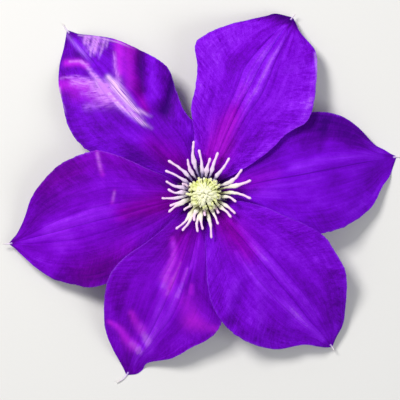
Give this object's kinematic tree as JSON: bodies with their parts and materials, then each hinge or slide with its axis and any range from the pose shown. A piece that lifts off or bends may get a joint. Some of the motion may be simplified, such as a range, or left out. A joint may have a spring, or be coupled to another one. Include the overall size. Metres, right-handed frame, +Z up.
{
  "type": "clematis flower",
  "caption": "A large clematis flower as picked, lying face up: broad violet sepals with pointed tips that lap round a ring of pale stamens and a silky boss",
  "frame": {"origin": "centre of the bounding box in plan, on the surface that the flower lies on", "axes": "+Z up, out of the flower's face; +X along its longest extent, through the right-hand sepal; +Y up the view, between the two upper sepals"},
  "size_m": [0.1366, 0.1271, 0.0195],
  "materials": {
    "sepal": "soft satin petal",
    "stamen": "matt",
    "pistil": "silky",
    "stalk": "matt, faintly downy"
  },
  "bodies": {
    "root": {"stalk": "stalk", "sepal_1": "sepal", "sepal_2": "sepal", "sepal_3": "sepal", "sepal_4": "sepal", "sepal_5": "sepal", "sepal_6": "sepal", "stamens": "stamen", "pistils": "pistil"}
  },
  "joints": []
}
